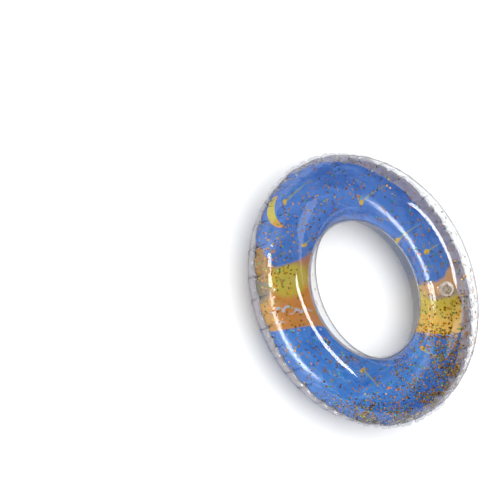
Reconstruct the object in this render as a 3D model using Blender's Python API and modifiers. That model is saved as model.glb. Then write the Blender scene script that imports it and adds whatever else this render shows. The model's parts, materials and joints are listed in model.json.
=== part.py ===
"""Inflatable swim ring: a clear top sheet and a printed bottom sheet, welded into one air tube round a hole for the
swimmer, with a push-in inflation valve under the outer weld and loose glitter inside.

Units are metres, +Z is up. The ring lies flat on its printed sheet. The origin is on the ring's own axis, at the
height of the surface that it lies on. The valve points outwards and down, on the +X side."""

import math
import random

import bmesh
import bpy
from mathutils import Matrix, Vector

# Ring, inflated. It is cut from annuli of film 0.60 m across, and the outer weld gathers up as the tube fills
OUTER_DIAMETER = 0.480  # over the outer weld
HOLE_DIAMETER = 0.237  # inside the inner weld
TUBE_HEIGHT = 0.115
OUTER_WELD_WIDTH = 0.005
INNER_WELD_WIDTH = 0.003
WELD_THICKNESS = 0.0008
FILM = 0.0004  # thickness of either sheet
GAP = 0.0003  # left between neighbouring pieces

# Faceting
ROUND_STEPS = 64  # round the ring
SECTION_STEPS = 13  # over half the tube's section: odd, so that the lowest one is a flat band to lie on
VALVE_STEPS = 32

# Valve: heights are along its own axis, from the film's outer face, outwards
VALVE_SECTION_ANGLE = math.radians(-40)  # its place round the tube's section, from the outer weld
FILM_OPENING_RADIUS = 0.0150
FLANGE_RADIUS = 0.0220
FLANGE_OPENING_RADIUS = 0.0125
FLANGE_THICKNESS = 0.0008
FLANGE_RINGS = 4
FLANGE_LIFT = 0.0006  # clear of the film's facets
WEB_THICKNESS = 0.0005
WEB_FOOT, WEB_SHOULDER, WEB_TOP = -0.0012, 0.0006, 0.0070
WEB_NECK_HEIGHT = 0.0010  # upright, under the web's top
STEM_RADIUS = 0.0060
BORE_RADIUS = 0.0038
STEM_INNER_END, STEM_MOUTH = -0.0040, 0.0145
LIP_RADIUS, LIP_HEIGHT = 0.0070, 0.0012
COLLAR_RADIUS, COLLAR_HEIGHT = 0.0072, 0.0025
COLLAR_CHAMFER = 0.0006
CAP_RADIUS, CAP_THICKNESS = 0.0075, 0.0020
PEG_ROOT_RADIUS, PEG_TIP_RADIUS, PEG_LENGTH = 0.0034, 0.0026, 0.0040
STRAP_WIDTH = 0.0040
STRAP_THICKNESS = 0.0012
STRAP_RING_FOOT, STRAP_RING_HEIGHT = 0.0097, 0.0020
HINGE_REACH = 0.0090  # from the valve's axis to the line where the strap bends
FLAP_RADIUS, FLAP_THICKNESS = 0.0052, 0.0005
FLAP_HINGE_REACH = 0.0066
FLAP_TAB_WIDTH = 0.0040
FLAP_TAB_TRIM = FLAP_THICKNESS / 10  # off each face of the tab
PULL_TAB_LENGTH, PULL_TAB_WIDTH = 0.0050, 0.0056

# Glitter: hexagonal flakes, a few to stand for each colour
FLAKE_RADIUS = 0.0017
FLAKE_THICKNESS = 0.00012
FLAKES_OF_A_COLOUR = 4
FLAKE_INSET = 0.0022  # from the tube's true section, clear of the film's facets
FLAKE_TILT = math.radians(12)
FLAKE_SPACING = 0.035
FLAKE_SEAM_ANGLE = 0.15  # round the section, left clear beside each weld
GLITTER_SEED = 7
VALVE_CLEARANCE = 0.045  # the flakes' least distance from the valve

# Worked out from these
OUTER_RADIUS = OUTER_DIAMETER / 2
HOLE_RADIUS = HOLE_DIAMETER / 2
TUBE_OUTSIDE = OUTER_RADIUS - OUTER_WELD_WIDTH - GAP
TUBE_INSIDE = HOLE_RADIUS + INNER_WELD_WIDTH + GAP
TUBE_CENTRE = (TUBE_OUTSIDE + TUBE_INSIDE) / 2
HALF_WIDTH = (TUBE_OUTSIDE - TUBE_INSIDE) / 2
SEAM_HEIGHT = TUBE_HEIGHT / 2
HALF_HEIGHT = (SEAM_HEIGHT - GAP / 2) / math.cos(math.pi / (2 * SECTION_STEPS))

CLEAR_FILM = ((0.93, 0.95, 0.97), 0.08, 0.0)
PRINTED_FILM = ((0.42, 0.43, 0.47), 0.30, 0.0)
WELDED_FILM = ((0.80, 0.81, 0.84), 0.20, 0.0)
VALVE_PLASTIC = ((0.82, 0.84, 0.87), 0.25, 0.0)
GLITTER_ROUGHNESS, GLITTER_METALLIC = 0.25, 0.9
GLITTER_COLOURS = {
    "glitter_gold": (0.80, 0.52, 0.14),
    "glitter_copper": (0.72, 0.30, 0.10),
    "glitter_bronze": (0.27, 0.18, 0.07),
    "glitter_green": (0.25, 0.55, 0.22),
}


def clear_scene():
    for obj in list(bpy.data.objects):
        bpy.data.objects.remove(obj, do_unlink=True)


def new_collection(name, shown=True):
    collection = bpy.data.collections.new(name)
    collection.hide_render = not shown
    bpy.context.scene.collection.children.link(collection)
    return collection


def material(name, colour, roughness, metallic):
    made = bpy.data.materials.new(name)
    made.use_nodes = True
    shader = made.node_tree.nodes["Principled BSDF"]
    shader.inputs["Base Color"].default_value = (*colour, 1.0)
    shader.inputs["Roughness"].default_value = roughness
    shader.inputs["Metallic"].default_value = metallic
    return made


def add_object(collection, name, mesh, look, parent=None):
    """An object with its own material. look is (colour, roughness, metallic)."""
    obj = bpy.data.objects.new(name, mesh)
    collection.objects.link(obj)
    obj.data.materials.append(material(name, *look))
    obj.parent = parent
    return obj


def add_guide(collection, name, mesh, parent=None):
    """A cutter or a surface that only shapes other pieces."""
    obj = bpy.data.objects.new(name, mesh)
    collection.objects.link(obj)
    obj.parent = parent
    obj.hide_render = True
    obj.display_type = "WIRE"
    return obj


def profile_mesh(name, points, closed):
    """A chain of edges through (radius, height) points, to be turned about Z."""
    count = len(points)
    edges = [(i, i + 1) for i in range(count - 1)]
    if closed:
        edges.append((count - 1, 0))
    mesh = bpy.data.meshes.new(name)
    mesh.from_pydata([(radius, 0.0, height) for radius, height in points], edges, [])
    return mesh


def turn(obj, steps):
    """Turns the object's profile into a full round shape."""
    screw = obj.modifiers.new("Turn", "SCREW")
    screw.angle = 2 * math.pi
    screw.steps = steps
    screw.render_steps = steps
    screw.use_merge_vertices = True
    screw.merge_threshold = 1e-5
    screw.use_smooth_shade = True
    return obj


def thicken(obj, thickness, offset):
    shell = obj.modifiers.new("Thickness", "SOLIDIFY")
    shell.thickness = thickness
    shell.offset = offset
    shell.use_even_offset = True
    return obj


def boolean(obj, other, operation):
    modifier = obj.modifiers.new(operation.title(), "BOOLEAN")
    modifier.operation = operation
    modifier.object = other
    return obj


def cylinder_mesh(name, radius, low, high, steps):
    """A closed cylinder about Z between two heights."""
    shape = bmesh.new()
    bmesh.ops.create_cone(shape, cap_ends=True, segments=steps, radius1=radius, radius2=radius, depth=high - low)
    bmesh.ops.translate(shape, verts=shape.verts, vec=(0, 0, (low + high) / 2))
    return finished(shape, name)


def box_mesh(name, low, high):
    """A closed box between two corners."""
    low, high = Vector(low), Vector(high)
    shape = bmesh.new()
    bmesh.ops.create_cube(shape, size=1.0)
    bmesh.ops.scale(shape, verts=shape.verts, vec=high - low)
    bmesh.ops.translate(shape, verts=shape.verts, vec=(low + high) / 2)
    return finished(shape, name)


def finished(shape, name):
    mesh = bpy.data.meshes.new(name)
    shape.to_mesh(mesh)
    shape.free()
    return mesh


def tube_point(round_angle, section_angle, inset=0.0):
    """A point on the tube, or inset inside it, and the outward normal there. The section angle is 0 at the outer
    weld, 90 degrees on top and -90 degrees underneath."""
    across, up = math.cos(section_angle), math.sin(section_angle)
    outward = Vector((across / HALF_WIDTH, 0, up / HALF_HEIGHT)).normalized()
    point = Vector((TUBE_CENTRE + HALF_WIDTH * across, 0, SEAM_HEIGHT + HALF_HEIGHT * up)) - inset * outward
    about = Matrix.Rotation(round_angle, 3, "Z")
    return about @ point, about @ outward


def half_section(side):
    """The outer face of one sheet, in (radius, height). It runs so that the turned surface faces outwards. side is 1
    for the top sheet and -1 for the bottom one."""
    middle = SEAM_HEIGHT + side * GAP / 2
    points = []
    for i in range(SECTION_STEPS + 1):
        angle = math.pi * i / SECTION_STEPS
        points.append((TUBE_CENTRE + HALF_WIDTH * math.cos(angle), middle + side * HALF_HEIGHT * math.sin(angle)))
    return points if side < 0 else points[::-1]


def make_sheet(collection, name, side, look):
    obj = add_object(collection, name, profile_mesh(name, half_section(side), closed=False), look)
    return thicken(turn(obj, ROUND_STEPS), FILM, -1)


def make_weld(collection, name, inside, outside):
    """A flat ring of the two films fused together."""
    low, high = SEAM_HEIGHT - WELD_THICKNESS / 2, SEAM_HEIGHT + WELD_THICKNESS / 2
    points = [(inside, high), (outside, high), (outside, low), (inside, low)]
    return turn(add_object(collection, name, profile_mesh(name, points, closed=True), WELDED_FILM), ROUND_STEPS)


def make_ring(parts, guides, valve):
    make_sheet(parts, "top_sheet", 1, CLEAR_FILM)
    bottom = make_sheet(parts, "bottom_sheet", -1, PRINTED_FILM)
    reach = FLANGE_RADIUS
    mesh = cylinder_mesh("film_opening", FILM_OPENING_RADIUS, -reach, reach, VALVE_STEPS)
    boolean(bottom, add_guide(guides, "film_opening", mesh, valve), "DIFFERENCE")
    make_weld(parts, "outer_weld", OUTER_RADIUS - OUTER_WELD_WIDTH, OUTER_RADIUS)
    make_weld(parts, "inner_weld", HOLE_RADIUS, HOLE_RADIUS + INNER_WELD_WIDTH)


def make_valve_axis(parts):
    """An empty on the film's outer face, with its Z along the valve's axis, outwards, and its X along world Y."""
    place, outward = tube_point(0.0, VALVE_SECTION_ANGLE)
    axis = bpy.data.objects.new("valve_axis", None)
    parts.objects.link(axis)
    axis.location = place
    axis.rotation_mode = "QUATERNION"
    axis.rotation_quaternion = outward.to_track_quat("Z", "Y")
    return axis


def make_flange(parts, guides, valve):
    """A disc that follows the curve of the film, with a round opening."""
    guide = add_guide(guides, "film_face", profile_mesh("film_face", half_section(-1), closed=False))
    turn(guide, ROUND_STEPS)
    step = (FLANGE_RADIUS - FLANGE_OPENING_RADIUS) / (FLANGE_RINGS - 1)
    points = [(FLANGE_OPENING_RADIUS + i * step, FLANGE_LIFT) for i in range(FLANGE_RINGS)]
    mesh = profile_mesh("valve_flange", points, closed=False)
    flange = turn(add_object(parts, "valve_flange", mesh, VALVE_PLASTIC, valve), VALVE_STEPS)
    wrap = flange.modifiers.new("Follow film", "SHRINKWRAP")
    wrap.target = guide
    wrap.wrap_method = "NEAREST_SURFACEPOINT"
    wrap.wrap_mode = "OUTSIDE_SURFACE"
    wrap.offset = FLANGE_LIFT
    return thicken(flange, FLANGE_THICKNESS, 1)


def make_web(parts, valve):
    """The thin cone between flange and stem that turns inside out as the stem is pushed in."""
    foot_radius = FLANGE_OPENING_RADIUS - GAP - WEB_THICKNESS
    top_radius = STEM_RADIUS + GAP
    foot = [(foot_radius, WEB_FOOT), (foot_radius, WEB_SHOULDER)]
    inner = foot + [(top_radius, WEB_TOP - WEB_NECK_HEIGHT), (top_radius, WEB_TOP)]
    outer = [(radius + WEB_THICKNESS, height) for radius, height in inner]
    mesh = profile_mesh("valve_web", outer[::-1] + inner, closed=True)
    return turn(add_object(parts, "valve_web", mesh, VALVE_PLASTIC, valve), VALVE_STEPS)


def make_stem(parts, valve):
    """The tube that air goes in through, with a lip at its inner end and a collar at its mouth."""
    collar_foot = STEM_MOUTH - COLLAR_HEIGHT
    points = [
        (BORE_RADIUS, STEM_MOUTH),
        (COLLAR_RADIUS - COLLAR_CHAMFER, STEM_MOUTH),
        (COLLAR_RADIUS, STEM_MOUTH - COLLAR_CHAMFER),
        (COLLAR_RADIUS, collar_foot),
        (STEM_RADIUS, collar_foot),
        (STEM_RADIUS, STEM_INNER_END + LIP_HEIGHT),
        (LIP_RADIUS, STEM_INNER_END + LIP_HEIGHT),
        (LIP_RADIUS, STEM_INNER_END),
        (BORE_RADIUS, STEM_INNER_END),
    ]
    mesh = profile_mesh("valve_stem", points, closed=True)
    return turn(add_object(parts, "valve_stem", mesh, VALVE_PLASTIC, valve), VALVE_STEPS)


def make_strap_ring(parts, guides, valve):
    """The ring that holds the strap round the stem's neck, and the arm up to the line where the strap bends."""
    foot, top = STRAP_RING_FOOT, STRAP_RING_FOOT + STRAP_RING_HEIGHT
    inside, outside = STEM_RADIUS + GAP, STEM_RADIUS + GAP + STRAP_THICKNESS
    mesh = profile_mesh("strap_ring", [(inside, top), (outside, top), (outside, foot), (inside, foot)], closed=True)
    ring = turn(add_object(parts, "strap_ring", mesh, VALVE_PLASTIC, valve), VALVE_STEPS)
    half = STRAP_WIDTH / 2
    bridge_end = -(inside + STRAP_THICKNESS / 2)
    bridge = box_mesh("strap_bridge", (-HINGE_REACH, -half, foot + GAP), (bridge_end, half, top - GAP))
    boolean(ring, add_guide(guides, "strap_bridge", bridge, valve), "UNION")
    arm_top = STEM_MOUTH - GAP / 2
    arm = box_mesh("strap_arm", (-HINGE_REACH, -half, foot + GAP), (STRAP_THICKNESS - HINGE_REACH, half, arm_top))
    return boolean(ring, add_guide(guides, "strap_arm", arm, valve), "UNION")


def make_plug(parts, guides, valve):
    """The stopper: a cap with a short tapered peg, and a tab to pull it by."""
    foot = STEM_MOUTH + GAP
    top = foot + CAP_THICKNESS
    points = [
        (0.0, top),
        (CAP_RADIUS - COLLAR_CHAMFER, top),
        (CAP_RADIUS, top - COLLAR_CHAMFER),
        (CAP_RADIUS, foot),
        (PEG_ROOT_RADIUS, foot),
        (PEG_TIP_RADIUS, foot - PEG_LENGTH),
        (0.0, foot - PEG_LENGTH),
    ]
    mesh = profile_mesh("valve_plug", points, closed=False)
    plug = turn(add_object(parts, "valve_plug", mesh, VALVE_PLASTIC, valve), VALVE_STEPS)
    half = PULL_TAB_WIDTH / 2
    low = (CAP_RADIUS - 2 * COLLAR_CHAMFER, -half, foot + GAP)
    high = (CAP_RADIUS + PULL_TAB_LENGTH, half, top - COLLAR_CHAMFER)
    return boolean(plug, add_guide(guides, "pull_tab", box_mesh("pull_tab", low, high), valve), "UNION")


def add_hinge_empty(parts, name, valve, reach, height):
    """An empty on the line that a valve piece turns about."""
    hinge = bpy.data.objects.new(name, None)
    parts.objects.link(hinge)
    hinge.parent = valve
    hinge.location = (-reach, 0, height)
    return hinge


def make_plug_strap(parts, hinge):
    """The end of the strap that swings with the plug."""
    half = STRAP_WIDTH / 2
    length = HINGE_REACH - CAP_RADIUS - GAP
    mesh = box_mesh("plug_strap", (0, -half, 0), (length, half, STRAP_THICKNESS))
    return add_object(parts, "plug_strap", mesh, VALVE_PLASTIC, hinge)


def make_check_flap(parts, guides, hinge):
    """The disc that closes the stem's inner end and opens as air goes in."""
    mesh = cylinder_mesh("check_flap", FLAP_RADIUS, -FLAP_THICKNESS, 0.0, VALVE_STEPS)
    mesh.transform(Matrix.Translation((FLAP_HINGE_REACH, 0, 0)))
    flap = add_object(parts, "check_flap", mesh, VALVE_PLASTIC, hinge)
    half = FLAP_TAB_WIDTH / 2
    tab = box_mesh("flap_tab", (0, -half, FLAP_TAB_TRIM - FLAP_THICKNESS), (FLAP_RADIUS / 2, half, -FLAP_TAB_TRIM))
    return boolean(flap, add_guide(guides, "flap_tab", tab, hinge), "UNION")


def make_valve(parts, guides, valve):
    make_flange(parts, guides, valve)
    make_web(parts, valve)
    make_stem(parts, valve)
    make_strap_ring(parts, guides, valve)
    make_plug(parts, guides, valve)
    make_plug_strap(parts, add_hinge_empty(parts, "plug_hinge", valve, HINGE_REACH, STEM_MOUTH + GAP / 2))
    flap_hinge = add_hinge_empty(parts, "flap_hinge", valve, FLAP_HINGE_REACH, STEM_INNER_END - GAP)
    make_check_flap(parts, guides, flap_hinge)


def flake_places(rng, valve_place):
    """Places for all the flakes, clear of each other and of the valve, as matrices with Z along the film's normal."""
    wanted = FLAKES_OF_A_COLOUR * len(GLITTER_COLOURS)
    places = []
    while len(places) < wanted:
        section = rng.uniform(FLAKE_SEAM_ANGLE, math.pi - FLAKE_SEAM_ANGLE) * rng.choice((-1, 1, -1))
        point, outward = tube_point(rng.uniform(0, 2 * math.pi), section, FLAKE_INSET)
        apart = min(((point - other.translation).length for other in places), default=1.0)
        if apart < FLAKE_SPACING or (point - valve_place).length < VALVE_CLEARANCE:
            continue
        lean = Matrix.Rotation(rng.uniform(0, FLAKE_TILT), 4, "X")
        spin = Matrix.Rotation(rng.uniform(0, 2 * math.pi), 4, "Z")
        places.append(Matrix.Translation(point) @ outward.to_track_quat("Z", "Y").to_matrix().to_4x4() @ lean @ spin)
    return places


def flake_mesh(name, colour):
    shape = bmesh.new()
    bmesh.ops.create_cone(
        shape, cap_ends=True, segments=6, radius1=FLAKE_RADIUS, radius2=FLAKE_RADIUS, depth=FLAKE_THICKNESS
    )
    mesh = finished(shape, name)
    mesh.materials.append(material(name, colour, GLITTER_ROUGHNESS, GLITTER_METALLIC))
    return mesh


def make_glitter(parts, valve_place):
    places = flake_places(random.Random(GLITTER_SEED), valve_place)
    for group, (name, colour) in enumerate(GLITTER_COLOURS.items()):
        mesh = flake_mesh(name, colour)
        for number, place in enumerate(places[group :: len(GLITTER_COLOURS)], start=1):
            flake = bpy.data.objects.new(f"{name}_{number}", mesh)
            parts.objects.link(flake)
            flake.matrix_world = place


def main():
    clear_scene()
    parts = new_collection("swim_ring")
    guides = new_collection("guides", shown=False)
    valve = make_valve_axis(parts)
    make_ring(parts, guides, valve)
    make_valve(parts, guides, valve)
    make_glitter(parts, valve.location)


main()
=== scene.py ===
"""Looks of the inflatable swim ring: wrinkled film, a night-to-sea print, loose glitter and a moulded valve.

Units are metres, +Z is up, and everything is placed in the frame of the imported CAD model."""

import json
import math

import bmesh
import bpy
import numpy as np
from mathutils import Matrix, Vector


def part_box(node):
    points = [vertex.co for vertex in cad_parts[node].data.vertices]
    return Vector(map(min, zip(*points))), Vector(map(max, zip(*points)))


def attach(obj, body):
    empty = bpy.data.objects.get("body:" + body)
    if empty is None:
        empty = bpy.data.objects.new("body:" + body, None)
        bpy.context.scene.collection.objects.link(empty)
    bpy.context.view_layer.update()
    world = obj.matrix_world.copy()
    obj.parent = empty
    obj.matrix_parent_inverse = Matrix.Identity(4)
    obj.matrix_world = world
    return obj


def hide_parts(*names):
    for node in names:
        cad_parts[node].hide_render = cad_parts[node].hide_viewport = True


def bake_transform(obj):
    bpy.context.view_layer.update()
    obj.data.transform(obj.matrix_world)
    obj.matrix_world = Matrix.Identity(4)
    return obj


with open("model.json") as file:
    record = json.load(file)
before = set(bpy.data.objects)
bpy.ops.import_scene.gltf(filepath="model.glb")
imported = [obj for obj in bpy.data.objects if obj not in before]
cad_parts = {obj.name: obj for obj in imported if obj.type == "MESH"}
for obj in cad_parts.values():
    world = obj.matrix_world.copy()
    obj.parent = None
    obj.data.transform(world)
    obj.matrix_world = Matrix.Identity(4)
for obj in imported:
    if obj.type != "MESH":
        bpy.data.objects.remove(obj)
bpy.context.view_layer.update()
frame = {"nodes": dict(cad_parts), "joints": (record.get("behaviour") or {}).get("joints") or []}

# Film, as it is cut and as it is welded
FILM = 0.0004
HOLE_RADIUS = 0.1215  # of the inner seam
OUTER_SEAM_RADIUS = 0.2325  # of the outer seam before the tube is filled
TUBE_HEIGHT = 0.1135
FLAT_INNER, FLAT_OUTER = 0.121, 0.302  # radii of the seams on the flat film, which the print is laid out on
COLUMNS = 720  # round the ring
ROWS = 28  # over one sheet, from seam to seam

# Wrinkles. A share is of the way from the inner seam to the outer one.
PUCKERS = 80
PUCKER_START = 0.72  # share from which the film is longer than the tube's outline
PUCKER_SLACK = 0.24  # how much longer it is at the outer seam
PUCKER_DEPTH, PUCKER_LEAN = 0.009, 0.0022
ROUGHNESS = 2e-5  # of the film before it is filled, which starts the small wrinkles
TAUT_WAVES = 14  # waves round the ring that taut film still shows
TAUT_FADE = (0.68, 0.95)  # shares between which the film goes slack

# Settling of the film as air fills it
SETTLING_STEPS = 160
AIR_STEP = 1e-5  # how far the air moves the film in one step
DRIFT = 0.92  # how much of the last step's movement goes on
STIFFNESS = 0.007

# Strips of fused film outside the seams
OUTER_FLANGE, INNER_FLANGE = 0.0050, 0.0030
FLANGE_THICKNESS = 0.0007
FLANGE_RIB = 0.00018
SCALLOP_VALLEY, SCALLOP_RISE = 0.70, 0.50  # share of the width at a pucker's valley, and what its crest adds
OUTER_FLUTTER, INNER_FLUTTER = 0.0028, 0.0002
FLUTTER_WAVES = (13, 29, 47, 71, 97)  # round the ring

# Valve: levels are along its own axis, outwards from the film's outer face
STEM_INNER_END, STEM_MOUTH = -0.0040, 0.0145
FILM_OPENING = 0.0132
VALVE_ROUNDING = 0.0004
STRAP_HALF_WIDTH = 0.0020
VALVE_CALM, VALVE_REACH = 0.024, 0.042  # round the valve the film is smooth, and further out it wrinkles

GLITTER_COUNT = 4300
GLITTER_SPREAD = (0.04, 0.975)  # shares of the way from the inner seam to the outer one
CLUMPS = 24  # waves that gather the flakes into clumps
FULL_DENSITY = 3.0  # where every flake that is tried may stay
FLAKE_RADIUS = 0.00170
FLAKE_THICKNESS = 0.00008
FLAKE_DEPTH = (0.0003, 0.0007)  # below the film's inner face
FLAKE_TILT = 0.10
FLAKE_REACH = 0.0035  # from a flake's corner, within which the film is checked
FLAKE_CLEARANCE = 0.00005
SLACK_DEPTH = 0.0010  # how much deeper the flakes lie by the outer seam, under the folds

SEED = 5

seam_low, seam_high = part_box("outer_weld")
SEAM_HEIGHT = (seam_low.z + seam_high.z) / 2


def vertices(node):
    """Vertex places of a CAD node."""
    return np.array([v.co for v in frame["nodes"][node].data.vertices], float)


def torus_radii():
    """Centre radius, half width and half height of the CAD tube."""
    places = vertices("top_sheet")
    rho = np.hypot(places[:, 0], places[:, 1])
    return (rho.max() + rho.min()) / 2, (rho.max() - rho.min()) / 2, places[:, 2].max() - SEAM_HEIGHT


def valve_matrix():
    """Z along the valve's axis, outwards, X along world Y, and the origin on the film's outer face."""
    push = next(joint for joint in frame["joints"] if joint["name"] == "valve_push")
    outward = -Vector(push["axis"]).normalized()
    middle = Vector(vertices("valve_stem").mean(axis=0))
    low = min((v.co - middle).dot(outward) for v in frame["nodes"]["valve_stem"].data.vertices)
    across = Vector((0, 1, 0))
    axes = Matrix((across, outward.cross(across), outward)).transposed().to_4x4()
    return Matrix.Translation(middle + (low - STEM_INNER_END) * outward) @ axes


VALVE = valve_matrix()


# Film ---------------------------------------------------------------------------------------------


def smooth(x, low, high):
    """0 at low, 1 at high, and smooth between them."""
    t = np.clip((x - low) / (high - low), 0, 1)
    return t * t * (3 - 2 * t)


def pull(first, second, length, strength):
    """Steps that bring points to a distance from each other. The second points take opposite steps."""
    gap = second - first
    now = np.sqrt(np.einsum("...k,...k->...", gap, gap))
    return (strength * 0.5 * (1 - length / now))[..., None] * gap


class Film:
    """Two annuli of film welded along both seams, as rows of points round the ring.

    Row 0 is the inner seam, row ROWS the outer one, rows between them the top sheet, and the rest the bottom
    sheet from the outer seam back."""

    def __init__(self):
        rng = np.random.default_rng(SEED)
        self.rows = 2 * ROWS
        row = np.arange(self.rows)
        self.s = np.where(row <= ROWS, row / ROWS, (self.rows - row) / ROWS)
        self.side = np.where((row > 0) & (row < ROWS), 1.0, np.where(row > ROWS, -1.0, 0.0))
        self.theta = 2 * math.pi * np.arange(COLUMNS) / COLUMNS
        middle = (HOLE_RADIUS + OUTER_SEAM_RADIUS) / 2
        half_width = (OUTER_SEAM_RADIUS - HOLE_RADIUS) / 2
        arc = math.pi * TUBE_HEIGHT / 2
        turn = math.pi * (1 - self.s)
        radius = middle + half_width * np.cos(turn)
        height = self.side * TUBE_HEIGHT / 2 * np.sin(turn)

        # Puckers of uneven width, depth and lean along the outer seam
        gaps = rng.uniform(0.45, 1.6, PUCKERS)
        edges = np.concatenate([[0], np.cumsum(gaps) / gaps.sum() * 2 * math.pi])
        whole = 2 * math.pi * np.arange(PUCKERS + 1)
        self.phase = np.interp(self.theta, edges, whole)
        depth, lean = rng.uniform(0.6, 1.3, PUCKERS), rng.uniform(-1, 1, PUCKERS)
        depth = np.interp(self.phase, whole, np.append(depth, depth[0]))
        lean = np.interp(self.phase, whole, np.append(lean, lean[0]))
        crest = np.abs(np.cos(self.phase / 2)) ** 0.7 - 0.55  # round crests between sharp valleys
        fade = np.clip((self.s - PUCKER_START) / (1 - PUCKER_START), 0, 1)
        push = fade[:, None] ** 2
        shape = (self.rows, COLUMNS)
        puckered = radius[:, None] + PUCKER_DEPTH * push * (depth * crest) + rng.normal(0, ROUGHNESS, shape)
        height = height[:, None] + PUCKER_LEAN * push * lean + rng.normal(0, ROUGHNESS, shape)
        self.at = np.stack([puckered * np.cos(self.theta), puckered * np.sin(self.theta), height], 2)

        # Lengths that the film keeps: round the ring, across the tube and between the two
        slack = 1 + PUCKER_SLACK * fade * fade * (3 - 2 * fade)
        self.hoop = 2 * radius * slack * math.sin(math.pi / COLUMNS)
        self.step = arc / ROWS
        self.slant = np.sqrt(self.step**2 + self.hoop * np.roll(self.hoop, -1))
        ring = np.stack([np.cos(self.theta), np.sin(self.theta), 0 * self.theta], 1)
        self.inner_seam = HOLE_RADIUS * ring
        self.sign = np.sign(np.sum(self.normals() * (self.at - (middle * ring)[None])))

    def normals(self):
        """Normals as long as four times the area that each point stands for."""
        round_ring = np.roll(self.at, -1, axis=1) - np.roll(self.at, 1, axis=1)
        over = np.roll(self.at, -1, axis=0) - np.roll(self.at, 1, axis=0)
        return np.cross(round_ring, over)

    def hold_hoops(self, strength):
        x = self.at
        step = pull(x[:, 0::2], x[:, 1::2], self.hoop[:, None], strength)
        x[:, 0::2] += step
        x[:, 1::2] -= step
        step = pull(x[:, 1::2], np.roll(x, -2, axis=1)[:, 0::2], self.hoop[:, None], strength)
        x[:, 1::2] += step
        x[:, 0::2] -= np.roll(step, 1, axis=1)

    def hold_meridians(self, strength):
        x = self.at
        step = pull(x[0::2], x[1::2], self.step, strength)
        x[0::2] += step
        x[1::2] -= step
        step = pull(x[1::2], np.roll(x, -2, axis=0)[0::2], self.step, strength)
        x[1::2] += step
        x[0::2] -= np.roll(step, 1, axis=0)

    def hold_diagonals(self, strength, sign):
        x = self.at
        for first in (0, 1):
            near = np.arange(first, self.rows, 2)
            far = (near + 1) % self.rows
            step = pull(x[near], np.roll(x[far], -sign, axis=1), self.slant[near][:, None], strength)
            x[near] += step
            x[far] -= np.roll(step, sign, axis=1)

    def stiffen(self, amount):
        """Resists bending, along the ring and across it, but not at the seams."""
        bend = np.roll(self.at, -1, axis=1) + np.roll(self.at, 1, axis=1) - 2 * self.at
        self.at -= amount * (np.roll(bend, -1, axis=1) + np.roll(bend, 1, axis=1) - 2 * bend)
        bend = np.roll(self.at, -1, axis=0) + np.roll(self.at, 1, axis=0) - 2 * self.at
        bend[[0, ROWS]] = 0
        self.at -= 0.5 * amount * (np.roll(bend, -1, axis=0) + np.roll(bend, 1, axis=0) - 2 * bend)

    def inflate(self):
        """Lets the film settle under the push of the air, and puts it down on the floor."""
        before = self.at.copy()
        puff = AIR_STEP / (4 * self.hoop.mean() * self.step)
        for _ in range(SETTLING_STEPS):
            drift = DRIFT * (self.at - before)
            before = self.at.copy()
            self.at += drift + self.sign * self.normals() * puff
            self.stiffen(STIFFNESS)
            for _ in range(2):
                self.hold_hoops(0.8)
                self.hold_meridians(1.0)
                self.hold_diagonals(0.5, 1)
                self.hold_diagonals(0.5, -1)
                self.at[0] = self.inner_seam
        self.at[..., 2] -= self.at[..., 2].min()

    def draw_taut(self):
        """Smooths the film round the ring where it is taut, which is everywhere but near the outer seam."""
        rho = np.hypot(self.at[..., 0], self.at[..., 1])
        turn = np.unwrap(np.arctan2(self.at[..., 1], self.at[..., 0]), axis=1) - self.theta
        keep = np.exp(-((np.arange(COLUMNS // 2 + 1) / TAUT_WAVES) ** 2))
        share = 1 - smooth(self.s, *TAUT_FADE)[:, None]
        eased = []
        for part in (rho, turn, self.at[..., 2]):
            even = np.fft.irfft(np.fft.rfft(part, axis=1) * keep, COLUMNS, axis=1)
            eased.append(part + share * (even - part))
        rho, turn, height = eased
        self.at = np.stack([rho * np.cos(self.theta + turn), rho * np.sin(self.theta + turn), height], 2)

    def calm_round_valve(self):
        """Brings the film to the CAD tube's true section near the valve."""
        centre, half_width, half_height = torus_radii()
        turn = math.pi * (1 - self.s)
        radius = centre + half_width * np.cos(turn)
        height = SEAM_HEIGHT + self.side * half_height * np.sin(turn)
        x, y = radius[:, None] * np.cos(self.theta), radius[:, None] * np.sin(self.theta)
        true = np.stack([x, y, np.repeat(height[:, None], COLUMNS, axis=1)], 2)
        share = smooth(self.from_valve(true), VALVE_CALM, VALVE_REACH)[..., None]
        self.at = true + share * (self.at - true)

    def from_valve(self, places):
        """Distance from the valve's axis, and far off on the other side of the tube."""
        local = (places - np.array(VALVE.translation)) @ np.array(VALVE.to_3x3())
        away = np.hypot(local[..., 0], local[..., 1])
        return np.where(np.abs(local[..., 2]) < 0.03, away, 1.0)

    def sheet_rows(self, side):
        """The rows of one sheet, from the inner seam to the outer one."""
        below = np.concatenate([[0], np.arange(2 * ROWS - 1, ROWS - 1, -1)])
        return np.arange(ROWS + 1) if side > 0 else below

    def flat(self, s, theta):
        """Places on the flat film."""
        radius = FLAT_INNER + s * (FLAT_OUTER - FLAT_INNER)
        return radius * np.cos(theta), radius * np.sin(theta)


film = Film()
film.inflate()
film.draw_taut()
film.calm_round_valve()
film_normals = film.sign * film.normals()
film_normals /= np.linalg.norm(film_normals, axis=2, keepdims=True)


# Meshes -------------------------------------------------------------------------------------------


def new_object(name, mesh, *materials):
    obj = bpy.data.objects.new(name, mesh)
    bpy.context.scene.collection.objects.link(obj)
    for made in materials:
        obj.data.materials.append(made)
    return obj


def add_piece(obj, body, slot_name, *nodes):
    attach(obj, body)
    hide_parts(*nodes)


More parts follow.
